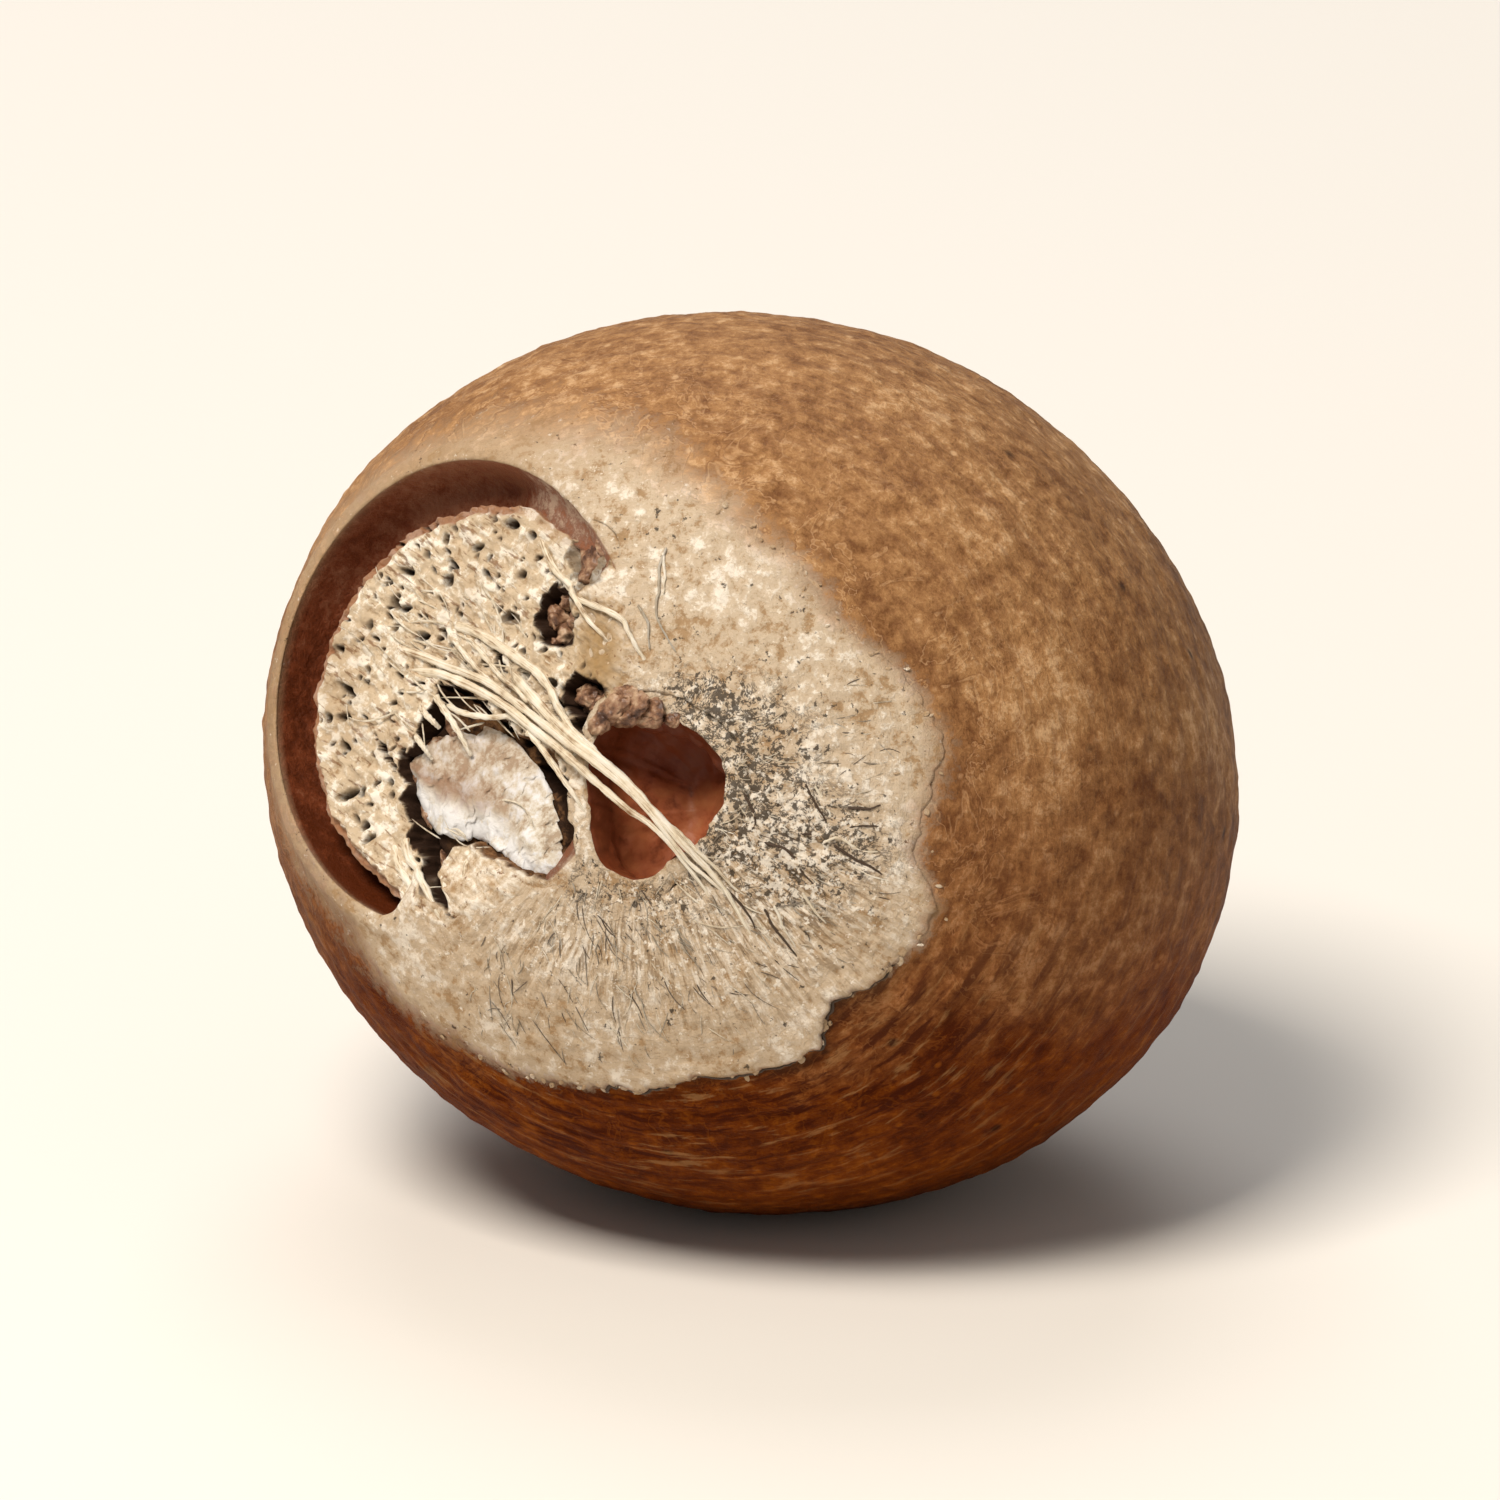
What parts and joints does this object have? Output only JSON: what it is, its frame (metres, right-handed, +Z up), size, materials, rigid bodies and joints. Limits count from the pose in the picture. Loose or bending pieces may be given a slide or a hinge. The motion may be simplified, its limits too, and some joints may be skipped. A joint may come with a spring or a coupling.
{
  "type": "betel nut",
  "caption": "Whole dried areca kernel, a flattened egg lying on its side, with a round husk scar, moat, pith plug and fibre strands on its base.",
  "frame": {"origin": "middle of the footprint on the surface that the nut lies on", "axes": "+X to the right in the picture's view, +Y away from the viewer, +Z up; the base with its scar looks forward and a little to the left and up"},
  "size_m": [0.028, 0.0256, 0.0253],
  "materials": {
    "seed_coat": "dry seed coat, dull waxy shine"
  },
  "bodies": {
    "root": {"nut": "seed_coat"}
  },
  "joints": []
}
